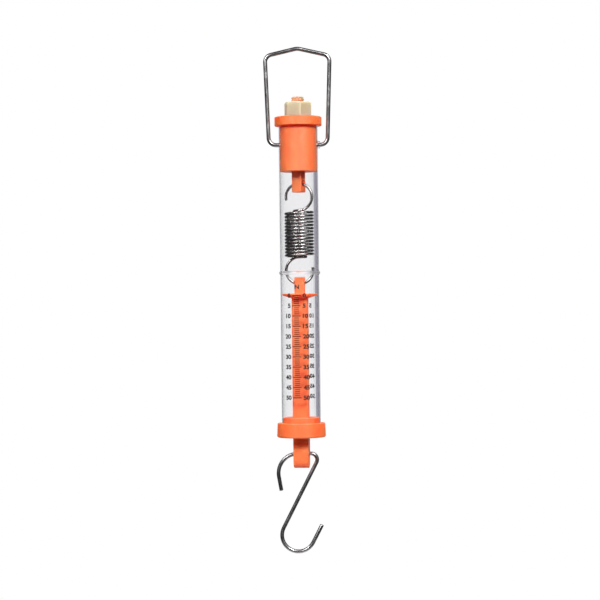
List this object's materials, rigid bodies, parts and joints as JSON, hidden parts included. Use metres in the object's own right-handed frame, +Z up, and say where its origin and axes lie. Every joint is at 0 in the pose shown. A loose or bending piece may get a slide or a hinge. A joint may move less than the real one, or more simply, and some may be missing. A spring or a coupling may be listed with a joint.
{
  "type": "hanging spring scale",
  "caption": "Tubular newton spring scale: clear tube with orange caps, extension spring, sliding plunger with reading disc, zero nut, wire bail and S-hook.",
  "frame": {"origin": "underside of the bail's top bend, where the scale hangs", "axes": "+Z up along the tube; +X to the right when the printed scale faces the reader, so the bail and the hook lie in the XZ plane; the reader stands on the -Y side"},
  "size_m": [0.0334, 0.0238, 0.2474],
  "materials": {
    "orange_plastic": "satin moulded plastic",
    "ivory_nylon": "semi-matt moulded nylon",
    "clear_tube": "clear glossy extruded plastic, printed with a scale",
    "steel_wire": "bright drawn wire",
    "spring_steel": "bright drawn spring wire"
  },
  "bodies": {
    "bail_body": {"bail": "steel_wire"},
    "housing": {"tube": "clear_tube", "top_cap": "orange_plastic", "bottom_cap": "orange_plastic"},
    "nut_body": {"zero_nut": "ivory_nylon"},
    "adjuster_body": {"adjuster": "orange_plastic", "spring": "spring_steel"},
    "plunger_body": {"plunger": "orange_plastic"},
    "hook_body": {"hook": "steel_wire"}
  },
  "joints": [
    {"name": "housing_swing", "type": "hinge", "parent": "bail_body", "child": "housing", "pos_m": [0, 0, -0.046], "axis": [1, 0, 0], "range_deg": [-165, 165]},
    {"name": "nut_turn", "type": "hinge", "parent": "housing", "child": "nut_body", "pos_m": [0, 0, -0.0321], "axis": [0, 0, 1], "range_deg": [-721, 721]},
    {"name": "adjuster_rise", "type": "slide", "parent": "housing", "child": "adjuster_body", "axis": [0, 0, 1], "range_m": [-0.00254, 0.00254]},
    {"name": "spring_pull", "type": "slide", "parent": "adjuster_body", "child": "plunger_body", "axis": [0, 0, -1], "range_m": [0, 0.055], "stiffness_N_per_m": 1010, "deforming": ["spring"]},
    {"name": "hook_swing", "type": "hinge", "parent": "plunger_body", "child": "hook_body", "pos_m": [0, 0, -0.1967], "axis": [1, 0, 0], "range_deg": [-110, 110]}
  ],
  "couplings": [
    {"joint": "nut_turn", "follows": "adjuster_rise", "rad_per_m": -4947.4}
  ]
}
